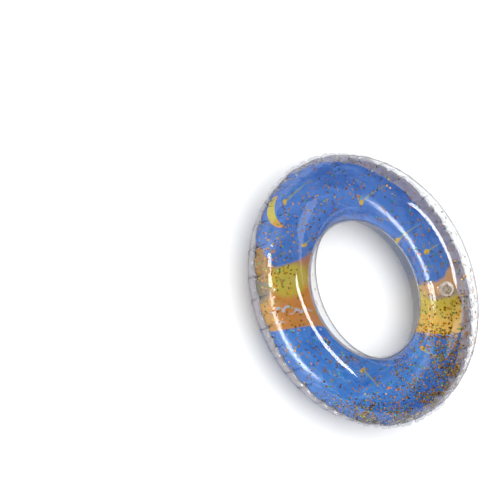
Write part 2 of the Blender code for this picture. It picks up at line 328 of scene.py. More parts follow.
def grid_faces(rows, columns, closed_rows, flip=False):
    """Quads over a grid of points, closed along the columns."""
    last = rows if closed_rows else rows - 1
    row, column = np.meshgrid(np.arange(last), np.arange(columns), indexing="ij")
    below, beside = (row + 1) % rows, (column + 1) % columns
    corners = ((row, column), (row, beside), (below, beside), (below, column))
    faces = np.stack([corner_row * columns + corner for corner_row, corner in corners], 2).reshape(-1, 4)
    return faces[:, ::-1] if flip else faces


def grid_mesh(name, points, faces, flat=None):
    """A smooth mesh of quads. Where flat is given, it holds places on the flat film, for the UV map."""
    mesh = bpy.data.meshes.new(name)
    mesh.from_pydata(points.reshape(-1, 3).tolist(), [], faces.tolist())
    mesh.shade_smooth()
    if flat is not None:
        layer = mesh.uv_layers.new(name="flat_film")
        layer.data.foreach_set("uv", flat.reshape(-1, 2)[faces.ravel()].astype(np.float32).ravel())
    return mesh


def make_sheet(name, side, outside, inside):
    """One sheet of film, with its thickness inwards."""
    rows = film.sheet_rows(side)
    points = film.at[rows]
    s, theta = np.meshgrid(film.s[rows], film.theta, indexing="ij")
    flat = np.stack(film.flat(s, theta), 2)
    faces = grid_faces(len(rows), COLUMNS, False, flip=side > 0)
    obj = new_object(name, grid_mesh(name, points, faces, flat), outside, inside)
    shell = obj.modifiers.new("Thickness", "SOLIDIFY")
    shell.thickness = FILM
    shell.offset = -1
    shell.material_offset = 1
    return obj


def cut_valve_opening(obj):
    """Cuts a round hole for the valve, through the film on its axis."""
    shape = bmesh.new()
    radii = {"radius1": FILM_OPENING, "radius2": FILM_OPENING}
    bmesh.ops.create_cone(shape, cap_ends=True, segments=72, depth=0.03, **radii)
    shape.transform(VALVE)
    mesh = bpy.data.meshes.new("opening")
    shape.to_mesh(mesh)
    shape.free()
    cutter = new_object("opening", mesh)
    cut = obj.modifiers.new("Opening", "BOOLEAN")
    cut.operation = "DIFFERENCE"
    cut.object = cutter
    made = bpy.data.meshes.new_from_object(obj.evaluated_get(bpy.context.evaluated_depsgraph_get()))
    obj.modifiers.clear()
    obj.data = made
    bpy.data.objects.remove(cutter)


def make_flange(name, row, width, flutter, material):
    """The strip of fused film outside a seam, with a pressed rib along it.

    width is one number or one for each column."""
    seam = film.at[row]
    away = 2 * seam - film.at[row - 1] - film.at[(row + 1) % film.rows]
    away /= np.linalg.norm(away, axis=1, keepdims=True)
    along = np.roll(seam, -1, axis=0) - np.roll(seam, 1, axis=0)
    across = np.cross(away, along)
    across /= np.linalg.norm(across, axis=1, keepdims=True)
    rng = np.random.default_rng(SEED + row)
    wave = np.zeros(COLUMNS)
    for count in FLUTTER_WAVES:
        wave += rng.uniform(0.5, 1.0) * np.sin(count * film.theta + rng.uniform(0, 6.3))
    wave = flutter * wave / np.abs(wave).max()

    # Section: shares of the width, outwards from the seam, and heights over the middle of the film
    half = FLANGE_THICKNESS / 2
    top = [(-0.04, half), (0.16, half), (0.24, half + FLANGE_RIB), (0.42, half + FLANGE_RIB)]
    top += [(0.5, half), (0.8, half), (0.94, half * 0.8)]
    outline = top + [(1.0, 0.0)] + [(reach, -height) for reach, height in reversed(top)]
    points = []
    for reach, height in outline:
        lift = (wave * max(reach, 0.0) ** 1.5)[:, None]
        points.append(seam + reach * np.reshape(width, (-1, 1)) * away + (height + lift) * across)
    faces = grid_faces(len(outline), COLUMNS, True)
    return new_object(name, grid_mesh(name, np.array(points), faces), material)


def outward_faces(obj):
    """Turns the faces of a closed mesh outwards."""
    shape = bmesh.new()
    shape.from_mesh(obj.data)
    bmesh.ops.recalc_face_normals(shape, faces=shape.faces)
    shape.to_mesh(obj.data)
    shape.free()
    return obj


# Shader values ------------------------------------------------------------------------------------


def srgb(*display):
    """A display colour, 0 to 255, as a linear one."""
    linear = (c / 255 / 12.92 if c < 10.3 else ((c / 255 + 0.055) / 1.055) ** 2.4 for c in display)
    return (*linear, 1.0)


class Value:
    """An output of a shader tree, which adds Math nodes when it is used in an expression."""

    def __init__(self, tree, socket):
        self.tree, self.socket = tree, socket

    def math(self, operation, *others):
        node = self.tree.nodes.new("ShaderNodeMath")
        node.operation = operation
        for place, other in zip(node.inputs, (self, *others)):
            feed(self.tree, place, other)
        return Value(self.tree, node.outputs[0])

    def __add__(self, other):
        return self.math("ADD", other)

    def __sub__(self, other):
        return self.math("SUBTRACT", other)

    def __mul__(self, other):
        return self.math("MULTIPLY", other)

    def __truediv__(self, other):
        return self.math("DIVIDE", other)

    __radd__, __rmul__ = __add__, __mul__

    def __rsub__(self, other):
        return (self * -1.0) + other

    def ramp(self, low, high):
        """0 below low, 1 above high, and smooth between them. It falls where low is above high."""
        node = self.tree.nodes.new("ShaderNodeMapRange")
        node.interpolation_type = "SMOOTHSTEP"
        feed(self.tree, node.inputs["Value"], self)
        feed(self.tree, node.inputs["From Min"], min(low, high))
        feed(self.tree, node.inputs["From Max"], max(low, high))
        node.inputs["To Min"].default_value = 0 if low < high else 1
        node.inputs["To Max"].default_value = 1 if low < high else 0
        return Value(self.tree, node.outputs[0])


def feed(tree, place, value):
    """Sets a socket to a number or colour, or links it to a value."""
    if isinstance(value, Value):
        tree.links.new(value.socket, place)
    elif isinstance(value, bpy.types.NodeSocket):
        tree.links.new(value, place)
    else:
        place.default_value = value


def blend_colour(tree, share, first, second):
    node = tree.nodes.new("ShaderNodeMix")
    node.data_type = "RGBA"
    first_colour, second_colour, result = node.inputs[6], node.inputs[7], node.outputs[2]
    feed(tree, node.inputs["Factor"], share)
    feed(tree, first_colour, first)
    feed(tree, second_colour, second)
    return result


def mix_shader(tree, share, first, second):
    node = tree.nodes.new("ShaderNodeMixShader")
    for place, value in zip(node.inputs, (share, first, second)):
        feed(tree, place, value)
    return node.outputs[0]


def vector(tree, x, y, z=0.0):
    node = tree.nodes.new("ShaderNodeCombineXYZ")
    for place, value in zip(node.inputs, (x, y, z)):
        feed(tree, place, value)
    return node.outputs[0]


def noise(tree, place, scale, detail=2.0, roughness=0.5):
    node = tree.nodes.new("ShaderNodeTexNoise")
    tree.links.new(place, node.inputs["Vector"])
    node.inputs["Scale"].default_value = scale
    node.inputs["Detail"].default_value = detail
    node.inputs["Roughness"].default_value = roughness
    return Value(tree, node.outputs["Fac"])


def object_place(tree):
    return tree.nodes.new("ShaderNodeTexCoord").outputs["Object"]


def new_material(name):
    """A material with one Principled shader."""
    made = bpy.data.materials.new(name)
    made.use_nodes = True
    return made, made.node_tree, made.node_tree.nodes["Principled BSDF"]


def bump(tree, shader, height, distance):
    node = tree.nodes.new("ShaderNodeBump")
    node.inputs["Distance"].default_value = distance
    feed(tree, node.inputs["Height"], height)
    tree.links.new(node.outputs["Normal"], shader.inputs["Normal"])


# Print --------------------------------------------------------------------------------------------

NIGHT, NIGHT_LIGHT, NIGHT_DEEP = srgb(76, 128, 208), srgb(104, 150, 220), srgb(62, 112, 194)
MOON, MOON_EDGE = srgb(220, 204, 66), srgb(230, 160, 88)
COMET, COMET_TAIL, GULL = srgb(222, 184, 64), srgb(180, 190, 84), srgb(192, 198, 214)
ORANGE, BROWN_PINK, OLIVE = srgb(216, 142, 64), srgb(192, 128, 86), srgb(206, 188, 64)
HILL, HILL_CLOUD, LOW_GOLD = srgb(168, 130, 62), srgb(118, 120, 108), srgb(214, 160, 70)
CLOUD, TAN, GOLD = srgb(164, 142, 126), srgb(212, 162, 112), srgb(240, 196, 84)
SEA, SEA_LIGHT = srgb(66, 136, 220), srgb(112, 172, 236)
# The middle colour on the next line is painted shade, not ink: the sea darkens to it towards the outer rim
# on the right, where the film slopes away from the light.
SEA_DEEP, SEA_EDGE_SHADE, FOAM = srgb(50, 114, 204), srgb(40, 92, 172), srgb(196, 208, 226)
MARGIN, MARGIN_DARK = srgb(186, 180, 192), srgb(168, 163, 176)
BACK, BACK_LIGHT, BACK_MARGIN = srgb(106, 112, 128), srgb(120, 126, 140), srgb(158, 154, 160)

# The print is laid out in millimetres on the flat film. Comets: head and end of tail.
COMETS = (
    ((-108, 201), (-33, 245)),
    ((96, 197), (155, 231)),
    ((-108, 100), (-67, 121)),
    ((174, 114), (230, 145)),
    ((234, 83), (262, 98)),
    ((-18, -156), (53, -199)),
    ((180, -117), (226, -158)),
    ((-30, -243), (-4, -262)),
)
GULLS = (((-179, -22), 27), ((-148, -31), 23), ((-187, -46), 13))  # middle and half span


def disc(x, y, centre, radius, soft):
    """1 inside a circle, with a soft edge."""
    away = ((x - centre[0]) * (x - centre[0]) + (y - centre[1]) * (y - centre[1])).math("SQRT")
    return away.ramp(radius + soft, radius - soft)


def comet(x, y, head, tail):
    """The head and the tail of a comet. The tail narrows and fades."""
    run = Vector(tail) - Vector(head)
    length = run.length
    run.normalize()
    dx, dy = x - head[0], y - head[1]
    along, aside = dx * run.x + dy * run.y, (dx * -run.y + dy * run.x).math("ABSOLUTE")
    width = 2.6 - along * (1.9 / length)
    streak = (width - aside).ramp(-0.6, 0.9) * along.ramp(0.0, 2.0) * along.ramp(length, 0.7 * length) * 0.55
    return disc(x, y, head, 5.4, 0.9), streak


def gull(x, y, middle, half):
    """Two curved wings and a small body."""
    dx, dy = (x - middle[0]) / half, (y - middle[1]) / half
    reach = dx.math("ABSOLUTE")
    wing = 0.42 * reach - 0.30 * reach * reach + 0.16 * (reach * 6.0).math("SINE")
    thick = 0.11 * (1.0 - reach)
    stroke = (dy - wing).math("ABSOLUTE")
    body = disc(dx, dy, (0.0, 0.0), 0.12, 0.04)
    return ((thick + 0.035 - stroke).ramp(0.0, 0.05) * reach.ramp(1.02, 0.95)).math("MAXIMUM", body)


def night_and_sea(tree, x, radius, angle, wander):
    """Two blues, with brush strokes that follow the ring, and broad swirls; the sea also gets painted shade
    towards the outer rim on the right.
    """
    strokes = noise(tree, vector(tree, radius * 0.11 + wander * 3.0, angle * 1.5), 1.6, 5.0, 0.62)
    broad = noise(tree, vector(tree, radius * 0.030 + wander * 2.0, angle * 1.3, 4.0), 1.3, 3.0)
    night = blend_colour(tree, strokes.ramp(0.50, 0.72), NIGHT, NIGHT_LIGHT)
    night = blend_colour(tree, broad.ramp(0.52, 0.34), night, NIGHT_DEEP)
    sea = blend_colour(tree, strokes.ramp(0.50, 0.70), SEA, SEA_LIGHT)
    sea = blend_colour(tree, broad.ramp(0.52, 0.30), sea, SEA_DEEP)
    # Painted shade: the sea darkens towards the outer rim on the right, where the film slopes away from the
    # light.
    edge_shade_share = (radius + wander * 30.0).ramp(205.0, 285.0) * x.ramp(-190.0, 60.0) * 0.75
    return night, blend_colour(tree, edge_shade_share, sea, SEA_EDGE_SHADE)


def left_sunset(tree, x, y, wander):
    """Pink brown above, a yellow sun glow, orange below, and gold outside with a hill and its cloud."""
    colour = blend_colour(tree, (y + wander * 50.0).ramp(66.0, 10.0), BROWN_PINK, ORANGE)
    colour = blend_colour(tree, (x + wander * 30.0).ramp(-178.0, -212.0), colour, LOW_GOLD)
    hill = disc(x, y + wander * 16.0, (-218.0, 80.0), 36.0, 12.0)
    cloud = disc(x, y + wander * 26.0, (-220.0, 28.0), 27.0, 8.0) * 0.9
    glow = disc(x + wander * 14.0, y, (-157.0, 38.0), 36.0, 9.0)
    for share, shade in ((hill, HILL), (cloud, HILL_CLOUD), (glow, OLIVE)):
        colour = blend_colour(tree, share, colour, shade)
    return colour


def right_sunset(tree, x, y, wander):
    """A tan cloud over a grey one, over yellow and gold."""
    cloud_x, cloud_y = x + wander * 24.0, y + wander * 22.0
    colour = blend_colour(tree, (y + wander * 30.0).ramp(-24.0, -66.0), OLIVE, GOLD)
    colour = blend_colour(tree, cloud_y.ramp(-24.0, -12.0) * cloud_x.ramp(208.0, 232.0), colour, CLOUD)
    colour = blend_colour(tree, cloud_y.ramp(-12.0, -2.0) * cloud_x.ramp(202.0, 220.0), colour, TAN)
    return blend_colour(tree, cloud_x.ramp(190.0, 172.0), colour, GOLD)


def foam_share(tree, flat, over_water):
    """Blots of foam along the water's edge."""
    spots = tree.nodes.new("ShaderNodeTexVoronoi")
    spots.inputs["Scale"].default_value = 13.0
    tree.links.new(flat, spots.inputs["Vector"])
    near_edge = (over_water + 5.0).math("ABSOLUTE").ramp(11.0, 3.0)
    blots = Value(tree, spots.outputs["Distance"]).ramp(0.30, 0.20)
    return blots * near_edge * noise(tree, flat, 9.0).ramp(0.42, 0.55) * 0.7


def print_colour(tree):
    """The print's colour over the flat film: night above, a band of sunset on both sides, and the sea below.

    Also returns the place on the film, and where there is ink."""
    place = tree.nodes.new("ShaderNodeUVMap")
    place.uv_map = "flat_film"
    split = tree.nodes.new("ShaderNodeSeparateXYZ")
    tree.links.new(place.outputs[0], split.inputs[0])
    x, y = Value(tree, split.outputs[0]) * 1000.0, Value(tree, split.outputs[1]) * 1000.0
    flat = vector(tree, x * 0.01, y * 0.01)
    radius = (x * x + y * y).math("SQRT")
    wander = noise(tree, flat, 2.2, 3.0) - 0.5
    fine = noise(tree, flat, 14.0, 4.0, 0.6) - 0.5

    # Bands: where the sunset begins and ends, on the left and on the right
    is_right = x.ramp(-1.0, 1.0)
    left_top = 70.0 + (x + wander * 12.0).ramp(-174.0, -194.0) * 40.0
    right_top = 18.0 + (x + wander * 20.0).ramp(248.0, 284.0) * 34.0
    top = left_top + is_right * (right_top - left_top) + wander * 9.0 + fine * 3.0
    bottom = -60.0 + is_right * (x.ramp(190.0, 262.0) * -16.0 - 24.0) + wander * 6.0 + fine * 5.0
    night, sea = night_and_sea(tree, x, radius, y.math("ARCTAN2", x), wander)
    sunset = blend_colour(tree, is_right, left_sunset(tree, x, y, wander), right_sunset(tree, x, y, wander))
    colour = blend_colour(tree, (y - top).ramp(4.5, -4.5), night, sunset)
    colour = blend_colour(tree, (y - bottom).ramp(2.2, -2.2), colour, sea)
    colour = blend_colour(tree, foam_share(tree, flat, y - bottom), colour, FOAM)

    # Figures: a crescent moon, comets and gulls
    crescent = disc(x, y, (-133.5, 181.0), 29.5, 0.9) * (1.0 - disc(x, y, (-100.0, 186.0), 39.0, 0.9))
    moon = blend_colour(tree, disc(x, y, (-150.0, 184.0), 24.0, 10.0), MOON_EDGE, MOON)
    colour = blend_colour(tree, crescent, colour, moon)
    for head, tail in COMETS:
        round_head, streak = comet(x, y, head, tail)
        colour = blend_colour(tree, round_head, blend_colour(tree, streak, colour, COMET_TAIL), COMET)
    for middle, half in GULLS:
        colour = blend_colour(tree, gull(x, y, middle, float(half)), colour, GULL)

    # Unprinted margins along both welds
    inked = (radius + fine * 1.6).ramp(282.5, 281.0) * (radius + fine * 1.0).ramp(123.0, 124.5)
    margin = blend_colour(tree, noise(tree, flat, 5.0, 4.0).ramp(0.35, 0.7), MARGIN, MARGIN_DARK)
    return blend_colour(tree, inked, margin, colour), flat, inked


def printed_film():
    """The inner face of the bottom sheet."""
    made, tree, shader = new_material("printed_film_inside")
    colour, flat, _ = print_colour(tree)
    tree.links.new(colour, shader.inputs["Base Color"])
    feed(tree, shader.inputs["Roughness"], 0.12 + 0.10 * noise(tree, flat, 6.0, 3.0))
    shader.inputs["Specular IOR Level"].default_value = 0.75
    bump(tree, shader, noise(tree, flat, 60.0, 3.0), 0.00006)
    return made


def back_film():
    """The outer face of the bottom sheet: grey film that the print shows through faintly."""
    made, tree, shader = new_material("printed_film_outside")
    colour, flat, inked = print_colour(tree)
    mottled = noise(tree, flat, 3.0, 4.0).ramp(0.3, 0.7)
    grey = blend_colour(tree, mottled, BACK, BACK_LIGHT)
    grey = blend_colour(tree, 0.11, grey, colour)
    colour = blend_colour(tree, inked, BACK_MARGIN, grey)
    tree.links.new(colour, shader.inputs["Base Color"])
    feed(tree, shader.inputs["Roughness"], 0.22 + 0.16 * noise(tree, flat, 8.0, 3.0))
    shader.inputs["Specular IOR Level"].default_value = 0.55
    bump(tree, shader, noise(tree, flat, 60.0, 3.0), 0.00006)
    return made


def clear_film(name, tint, rim, haze, roughness, body_colour=(0.90, 0.91, 0.93, 1)):
    """See-through film: it mirrors more and darkens at a grazing view, with faint haze and scuffs."""
    made, tree, shader = new_material(name)
    scuffs = noise(tree, object_place(tree), 55.0, 5.0, 0.6)
    weight = tree.nodes.new("ShaderNodeLayerWeight")
    weight.inputs["Blend"].default_value = 0.5
    facing = Value(tree, weight.outputs["Facing"])
    clear = tree.nodes.new("ShaderNodeBsdfTransparent")
    tree.links.new(blend_colour(tree, facing.ramp(0.70, 1.0), tint, rim), clear.inputs["Color"])
    shader.inputs["Base Color"].default_value = body_colour
    feed(tree, shader.inputs["Roughness"], 0.3 + 0.1 * scuffs)
    gloss = tree.nodes.new("ShaderNodeBsdfGlossy")
    feed(tree, gloss.inputs["Roughness"], roughness + 0.04 * scuffs)
    body = mix_shader(tree, haze * scuffs.ramp(0.30, 0.75), clear.outputs[0], shader.outputs[0])
    mirrored = 0.03 + 0.34 * facing.math("POWER", 5.0)
    whole = mix_shader(tree, mirrored, body, gloss.outputs[0])
    tree.links.new(whole, tree.nodes["Material Output"].inputs["Surface"])
    return made


def glitter_material(name, dark, middle, bright):
    """Metallised flakes whose colour and shine differ from flake to flake."""
    made, tree, shader = new_material(name)
    place = object_place(tree)
    spread = noise(tree, place, 260.0, 2.0)
    colour = blend_colour(tree, spread.ramp(0.34, 0.52), dark, middle)
    colour = blend_colour(tree, noise(tree, place, 410.0, 1.0).ramp(0.56, 0.68), colour, bright)
    tree.links.new(colour, shader.inputs["Base Color"])
    feed(tree, shader.inputs["Roughness"], 0.24 + 0.22 * spread)
    shader.inputs["Metallic"].default_value = 0.45
    shader.inputs["Specular IOR Level"].default_value = 0.2
    return made


# Glitter ------------------------------------------------------------------------------------------

# Share of the flakes, and the dark, middle and bright colour
GLITTER = {
    "glitter_gold": (0.36, (srgb(148, 108, 0), srgb(206, 154, 0), srgb(255, 236, 50))),
    "glitter_copper": (0.24, (srgb(160, 98, 0), srgb(232, 142, 0), srgb(255, 178, 10))),
    "glitter_bronze": (0.33, (srgb(76, 54, 0), srgb(122, 86, 0), srgb(160, 116, 0))),
    "glitter_green": (0.07, (srgb(20, 92, 26), srgb(60, 190, 60), srgb(140, 240, 170))),
}


def lobe(angle, middle, width):
    """1 at a place round the ring, in degrees, and falling off both ways."""
    away = np.degrees(np.angle(np.exp(1j * (angle - math.radians(middle)))))
    return np.exp(-((away / width) ** 2))


def glitter_density(s, theta, side):
    """How thickly the flakes have gathered: they slid to one side of the ring and into its hollows."""
    low_right = lobe(theta, -40, 20) * (0.3 + 0.7 * smooth(s, 0.3, 0.7))
    low_rim = lobe(theta, -88, 32) * smooth(s, 0.45, 0.85)
    right = lobe(theta, -6, 22) * (0.3 + 0.4 * smooth(s, 0.3, 0.9))
    left_edge = lobe(theta, 176, 20) * smooth(s, 0.55, 0.8)
    low_inner = lobe(theta, -118, 36) * smooth(s, 0.45, 0.1)
    if side > 0:
        return 0.05 + 0.4 * low_right + 0.6 * low_rim + 0.25 * right + 1.2 * left_edge
    return 0.10 + 0.8 * low_right + 1.5 * low_rim + 0.6 * right + 3.0 * left_edge + 0.35 * low_inner


HEXAGON = [(math.cos(k * math.pi / 3), math.sin(k * math.pi / 3)) for k in range(6)]


def flake_corners(centre, turn, level=0.0):
    """The six corners of a flake, at a level over its middle."""
    return [centre + turn @ Vector((FLAKE_RADIUS * a, FLAKE_RADIUS * b, level)) for a, b in HEXAGON]


def is_inside(corners, row, column):
    """Whether a flake keeps clear of the film round about, which may be folded."""
    patch = np.ix_((row + np.arange(-1, 3)) % film.rows, (column + np.arange(-4, 6)) % COLUMNS)
    near, facing = film.at[patch].reshape(-1, 3), film_normals[patch].reshape(-1, 3)
    gap = near[None] - np.array(corners)[:, None]
    depth = np.einsum("...k,...k->...", gap, facing[None])
    close = np.linalg.norm(gap, axis=2) < FLAKE_REACH
    return bool((depth[close] > FILM + FLAKE_CLEARANCE).all())


def place_flakes():
    """Centre and turn of every flake, by the inner faces of the two sheets."""
    rng = np.random.default_rng(SEED + 40)
    clumps = rng.uniform(0, 2 * math.pi, CLUMPS)
    chosen = []
    while len(chosen) < GLITTER_COUNT:
        s, theta = rng.uniform(*GLITTER_SPREAD), rng.uniform(-math.pi, math.pi)
        side = rng.choice((1, -1, -1))
        wave = sum(math.sin(k % 11 * 2 * theta + k % 5 * 3 * s + a) for k, a in enumerate(clumps)) / 5
        density = glitter_density(s, theta, side) * max(0.15, 1 + 0.9 * wave) * (0.55 + 0.6 * s)
        if rng.uniform(0, FULL_DENSITY) > density:
            continue
        row = s * ROWS if side > 0 else 2 * ROWS - s * ROWS
        r0, c0 = int(row) % film.rows, int((theta % (2 * math.pi)) / (2 * math.pi) * COLUMNS) % COLUMNS
        point = film.at[r0, c0] + (row - int(row)) * (film.at[(r0 + 1) % film.rows, c0] - film.at[r0, c0])
        if film.from_valve(point) < VALVE_CALM:
            continue
        normal = film_normals[r0, c0]
        tilt = Vector(normal + rng.normal(0, FLAKE_TILT, 3))
        depth = FILM + rng.uniform(*FLAKE_DEPTH) + SLACK_DEPTH * smooth(s, *TAUT_FADE)
        spin = Matrix.Rotation(rng.uniform(0, math.pi / 3), 3, "Z").to_quaternion()
        turn = tilt.to_track_quat("Z", "Y") @ spin
        centre = Vector(point - normal * depth)
        if is_inside(flake_corners(centre, turn), r0, c0):
            chosen.append((centre, turn))
    return chosen


def make_glitter(name, places, material):
    """Hexagonal flakes, all of one colour."""
    points, faces = [], []
    for centre, turn in places:
        first = len(points)
        for level in (-FLAKE_THICKNESS / 2, FLAKE_THICKNESS / 2):
            points += flake_corners(centre, turn, level)
        faces.append([first + k for k in range(5, -1, -1)])
        faces.append([first + 6 + k for k in range(6)])
        faces += [[first + k, first + (k + 1) % 6, first + 6 + (k + 1) % 6, first + 6 + k] for k in range(6)]
    mesh = bpy.data.meshes.new(name)
    mesh.from_pydata(points, [], faces)
    return new_object(name, mesh, material)


# Valve --------------------------------------------------------------------------------------------


def oblong(x0, x1, y0, y1):
    """The corners of a rectangle."""
    return [(x0, y0), (x1, y0), (x1, y1), (x0, y1)]


def rounded(corners, radius, steps=4):
    """A closed outline with its corners rounded, except those on the axis."""
    points = []
    corners = [np.array(c, float) for c in corners]
    for k, corner in enumerate(corners):
        before, after = corners[k - 1] - corner, corners[(k + 1) % len(corners)] - corner
        if corner[0] == 0:
            points.append(corner)
            continue
        first = corner + before * min(0.45, radius / np.linalg.norm(before))
        last = corner + after * min(0.45, radius / np.linalg.norm(after))
        for t in np.linspace(0, 1, steps + 1):
            points.append((1 - t) ** 2 * first + 2 * t * (1 - t) * corner + t**2 * last)
    return np.array(points)


def turned(outline, steps=80):
    """Points and faces of a closed (radius, level) outline turned about the valve's axis."""
    angles = 2 * math.pi * np.arange(steps) / steps
    points = [(r * math.cos(a), r * math.sin(a), level) for r, level in outline for a in angles]
    return np.array(points), grid_faces(len(outline), steps, True).tolist()


def slab(outline, low, high, edge, upright=False):
    """Points and faces of a slab with softened edges over an outline in XY, or over an upright one in XZ."""
    outline = np.array(outline)
    run = np.roll(outline, -1, axis=0) - np.roll(outline, 1, axis=0)
    inward = np.stack([-run[:, 1], run[:, 0]], 1) / np.linalg.norm(run, axis=1, keepdims=True)
    area = np.sum(outline[:, 0] * np.roll(outline[:, 1], -1) - outline[:, 1] * np.roll(outline[:, 0], -1))
    inset = outline + edge * inward * np.sign(area)
    rings = ((inset, low), (outline, low + edge), (outline, high - edge), (inset, high))
    count = len(outline)
    points = np.array([(u, v, level) for ring, level in rings for u, v in ring])
    if upright:
        points = points[:, [0, 2, 1]]
    faces = grid_faces(4, count, False).tolist()
    return points, faces + [list(range(count)), list(range(3 * count, 4 * count))]


def valve_piece(name, material, *parts):
    """One object of closed shapes in the valve's own axes."""
    points, faces = np.concatenate([p for p, _ in parts]), []
    first = 0
    for part_points, part_faces in parts:
        faces += [[first + k for k in face] for face in part_faces]
        first += len(part_points)
    mesh = bpy.data.meshes.new(name)
    mesh.from_pydata(points.tolist(), [], faces)
    obj = outward_faces(new_object(name, mesh, material))
    mesh.shade_smooth()
    mesh.set_sharp_from_angle(angle=math.radians(40))
    obj.matrix_world = VALVE
    return obj


def film_level(x, y):
    """How far the CAD tube's true outer face is along the valve's axis, at a place across it."""
    centre, half_width, half_height = torus_radii()
    across, up, out = (np.array(VALVE.to_3x3().col[k]) for k in range(3))
    base = np.array(VALVE.translation) + x[..., None] * across + y[..., None] * up

    def outside(level):
        place = base + level[..., None] * out
        rho = np.hypot(place[..., 0], place[..., 1])
        return ((rho - centre) / half_width) ** 2 + ((place[..., 2] - SEAM_HEIGHT) / half_height) ** 2 - 1

    level, small = np.zeros_like(x), 1e-5
    for _ in range(8):
        level -= outside(level) * small / (outside(level + small) - outside(level))
    return level


def make_valve_flange(plastic):
    """A disc on the film's outer face, with two pressed weld ribs and a rounded edge."""
    inside, edge = 0.0124, 0.0220
    glue_line, thickness, rib = 0.00004, 0.00085, 0.00016
    rib_zone = (0.35, 0.93)  # shares of the way from inside to edge, which rounds off past the second
    reaches = np.linspace(inside, edge, 34)
    part = (reaches - inside) / (edge - inside)
    waves = smooth(np.cos(2 * math.pi * (part * 3.2 - 0.1)), 0.2, 0.7)
    ribs = rib * (waves * (part > rib_zone[0]) * (part < rib_zone[1]))
    past = np.clip((part - rib_zone[1]) / (1 - rib_zone[1]), 0, 1)
    top = thickness * np.sqrt(np.clip(1 - past**2, 0.06, 1)) + ribs
    outline = [(r, glue_line) for r in reaches] + [(r, h) for r, h in zip(reaches[::-1], top[::-1])]
    points, faces = turned(outline, 96)
    points[:, 2] += film_level(points[:, 0], points[:, 1])
    add_piece(valve_piece("flange_disc", plastic, (points, faces)), "ring", "valve_plastic", "valve_flange")


def make_web(plastic):
    """A foot inside the flange, a bend, and the slope up to the stem's neck."""
    foot, neck, half = 0.01195, 0.00655, 0.00025  # radii and half the thickness
    bend, rise, top = 0.0006, 0.0056, 0.0070
    slope = np.linspace(0, 1, 15)
    lean = 0.5 - 0.5 * np.cos(math.pi * slope)
    middle = [(foot, -0.0012), (foot, -0.0004)]
    middle += [(foot - (foot - neck) * t, bend + rise * (0.7 * t + 0.3 * e)) for t, e in zip(slope, lean)]
    middle = np.array([*middle, (neck, top)])
    run = np.gradient(middle, axis=0)
    aside = np.stack([run[:, 1], -run[:, 0]], 1) / np.linalg.norm(run, axis=1, keepdims=True)
    outline = np.concatenate([middle + half * aside, (middle - half * aside)[::-1]])
    web = valve_piece("inversion_web", plastic, turned(outline))
    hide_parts("valve_web")
    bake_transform(web)


def make_stem(plastic):
    """Bore, collar at the mouth, neck and inner lip."""
    bore, neck, lip, collar = 0.0038, 0.0060, 0.0070, 0.0072  # radii
    outline = [(bore, STEM_MOUTH), (collar, STEM_MOUTH), (collar, 0.0120), (neck, 0.0118), (neck, -0.0028)]
    outline += [(lip, -0.0030), (lip, STEM_INNER_END), (bore, STEM_INNER_END)]
    stem = valve_piece("stem_tube", plastic, turned(rounded(outline, VALVE_ROUNDING)))
    add_piece(stem, "stem", "valve_plastic", "valve_stem")


def make_strap_ring(plastic):
    """A ring round the stem's neck, and its arm up to the bend."""
    ring = turned(rounded(oblong(0.0063, 0.0075, 0.0117, 0.0097), VALVE_ROUNDING))
    bent = [(-0.0066, 0.0100), (-0.0090, 0.0100), (-0.0090, 0.01435)]
    bent += [(-0.0078, 0.01435), (-0.0078, 0.0114), (-0.0066, 0.0114)]
    arm = slab(rounded(bent, 0.0005), -STRAP_HALF_WIDTH, STRAP_HALF_WIDTH, 0.0003, upright=True)
    add_piece(valve_piece("strap_loop", plastic, ring, arm), "stem", "valve_plastic", "strap_ring")


def make_plug(plastic):
    """A cap with a rim, a peg with a sealing bead and a ribbed pull tab, and the strap's end by them."""
    rim, low, high, peg_end = 0.0075, 0.0148, 0.0168, 0.0108
    outline = [(0.0, 0.0164), (0.0052, 0.0164), (0.0056, high), (rim, high), (rim, low), (0.0034, low)]
    outline += [(0.0032, 0.0136), (0.0036, 0.0131), (0.0030, 0.0125), (0.0026, peg_end), (0.0, peg_end)]
    cap = turned(rounded(outline, VALVE_ROUNDING))
    root, reach, half = 0.0066, 0.0097, 0.0028  # of the tab, whose end is a half circle
    angles = np.linspace(-math.pi / 2, math.pi / 2, 17)
    tip = [(reach + half * math.cos(a), half * math.sin(a)) for a in angles]
    tab = slab([(root, -half), *tip, (root, half)], 0.0151, 0.0162, 0.0003)
    ribs = []
    for x in (0.0087, 0.0098, 0.0109):
        outline = rounded(oblong(x, x + 0.0005, -0.0019, 0.0019), 0.0002)
        ribs.append(slab(outline, 0.0160, 0.01645, 0.0001))
    add_piece(valve_piece("plug_cap", plastic, cap, tab, *ribs), "plug", "valve_plastic", "valve_plug")
    link = rounded(oblong(-0.0090, -0.0072, 0.01465, 0.01585), VALVE_ROUNDING)
    strap = slab(link, -STRAP_HALF_WIDTH, STRAP_HALF_WIDTH, 0.0003, upright=True)
    add_piece(valve_piece("plug_link", plastic, strap), "plug", "valve_plastic", "plug_strap")


def make_check_flap(thin):
    """A disc under the stem's inner end, and the tab that it swings by."""
    radius, tab_reach, tab_half = 0.0052, 0.0066, 0.0019
    open_angle = 0.40  # half of the disc's edge that the tab takes up
    angles = np.linspace(-math.pi + open_angle, math.pi - open_angle, 60)
    outline = [(radius * math.cos(a), radius * math.sin(a)) for a in angles]
    outline += [(-tab_reach, tab_half), (-tab_reach, -tab_half)]
    flap = slab(outline, -0.0048, -0.0043, 0.00012)
    add_piece(valve_piece("flap_disc", thin, flap), "flap", "flap_film", "check_flap")


